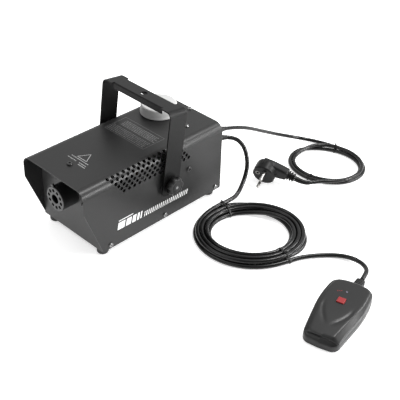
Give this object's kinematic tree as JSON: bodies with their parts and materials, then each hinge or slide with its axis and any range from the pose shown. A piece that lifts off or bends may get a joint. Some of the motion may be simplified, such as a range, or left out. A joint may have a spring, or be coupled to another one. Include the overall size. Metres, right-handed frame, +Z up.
{
  "type": "fog machine",
  "caption": "Small box-shaped stage fog machine with a tilting hanging bracket, screw-cap fluid tank, heated nozzle, mains plug and wired hand remote.",
  "frame": {"origin": "middle of the machine's footprint, on the plane its feet stand on", "axes": "+X to the machine's right side, where the remote lies; -Y the way the fog leaves; +Z up"},
  "size_m": [0.4986, 0.5158, 0.1896],
  "materials": {
    "black_powder_coat": "satin black powder coat",
    "grey_powder_coat": "satin dark grey powder coat",
    "zinc_screw": "bright zinc plate",
    "black_screw": "black oxide",
    "foot_rubber": "matt rubber",
    "nozzle_metal": "dull grey pressed metal",
    "brass": "turned",
    "cast_aluminium": "cast",
    "plain_steel": "galvanised sheet",
    "fibre_mat": "dark felted fibre",
    "black_plastic": "moulded, satin",
    "pump_plastic": "glass-filled nylon",
    "tank_plastic": "natural polyethylene",
    "cap_plastic": "off-white moulding",
    "hose": "silicone",
    "cord_rubber": "satin black sheath",
    "remote_plastic": "fine moulded texture",
    "red_plastic": "red moulding",
    "board": "green circuit board",
    "lamp": "tinted lamp",
    "plug_rubber": "moulded black",
    "nickel": "nickel plate",
    "tie_plastic": "black twist tie"
  },
  "bodies": {
    "machine": {"hood_cover": "black_powder_coat", "base_chassis": "grey_powder_coat", "hood_screws": "zinc_screw", "panel_screws": "black_screw", "foot_front_left": "foot_rubber", "foot_front_right": "foot_rubber", "foot_rear_left": "foot_rubber", "foot_rear_right": "foot_rubber", "foot_screws": "zinc_screw", "nozzle_shroud": "nozzle_metal", "steam_nozzle": "brass", "heater_lower_half": "cast_aluminium", "heater_upper_half": "cast_aluminium", "heater_bolts": "zinc_screw", "heating_element": "zinc_screw", "heater_bracket": "plain_steel", "heater_insulation": "fibre_mat", "heater_inlet": "brass", "thermostat": "black_plastic", "thermal_fuse": "zinc_screw", "pump_body": "pump_plastic", "pump_coil": "plain_steel", "pump_bracket": "plain_steel", "fluid_tank": "tank_plastic", "tank_filter": "pump_plastic", "tank_bracket": "plain_steel", "suction_hose": "hose", "delivery_hose": "hose", "wiring": "cord_rubber", "terminal_block": "pump_plastic", "mains_gland": "black_plastic", "remote_gland": "black_plastic", "bracket_washers": "foot_rubber", "rivet_nuts": "zinc_screw", "remote_lower_shell": "remote_plastic", "remote_upper_shell": "remote_plastic", "remote_board": "board", "remote_led": "lamp", "remote_screws": "zinc_screw", "remote_strain_relief": "cord_rubber", "plug_body": "plug_rubber", "plug_contacts": "nickel", "plug_strain_relief": "plug_rubber", "mains_cord_lead": "cord_rubber", "mains_cord_coil": "cord_rubber", "mains_cord_tail": "cord_rubber", "mains_cord_ties": "tie_plastic", "remote_cord_lead": "cord_rubber", "remote_cord_coil": "cord_rubber", "remote_cord_tail": "cord_rubber", "remote_cord_ties": "tie_plastic"},
    "bracket": {"hanging_bracket": "black_powder_coat"},
    "right_knob": {"knob_right": "black_plastic", "knob_stud_right": "zinc_screw"},
    "left_knob": {"knob_left": "black_plastic", "knob_stud_left": "zinc_screw"},
    "cap_seal": {"cap_liner": "fibre_mat"},
    "cap": {"tank_cap": "cap_plastic"},
    "piston": {"pump_piston": "zinc_screw"},
    "button": {"remote_button": "red_plastic"}
  },
  "joints": [
    {"name": "bracket_tilt", "type": "hinge", "parent": "machine", "child": "bracket", "pos_m": [0, 0.007, 0.0715], "axis": [1, 0, 0], "range_deg": [-33, 58]},
    {"name": "right_knob_turn", "type": "hinge", "parent": "machine", "child": "right_knob", "pos_m": [0.0793, 0.007, 0.0715], "axis": [1, 0, 0], "continuous": true},
    {"name": "left_knob_turn", "type": "hinge", "parent": "machine", "child": "left_knob", "pos_m": [-0.0793, 0.007, 0.0715], "axis": [-1, 0, 0], "continuous": true},
    {"name": "cap_lift", "type": "slide", "parent": "machine", "child": "cap_seal", "axis": [0, 0, 1], "range_m": [0, 0.05]},
    {"name": "cap_turn", "type": "hinge", "parent": "cap_seal", "child": "cap", "pos_m": [-0.026, 0.075, 0.135], "axis": [0, 0, 1], "range_deg": [0, 540]},
    {"name": "piston_stroke", "type": "slide", "parent": "machine", "child": "piston", "axis": [0, 1, 0], "range_m": [-0.003, 0.005], "stiffness_N_per_m": 400},
    {"name": "button_press", "type": "slide", "parent": "machine", "child": "button", "axis": [0, 0, -1], "range_m": [0, 0.0015], "stiffness_N_per_m": 600}
  ]
}
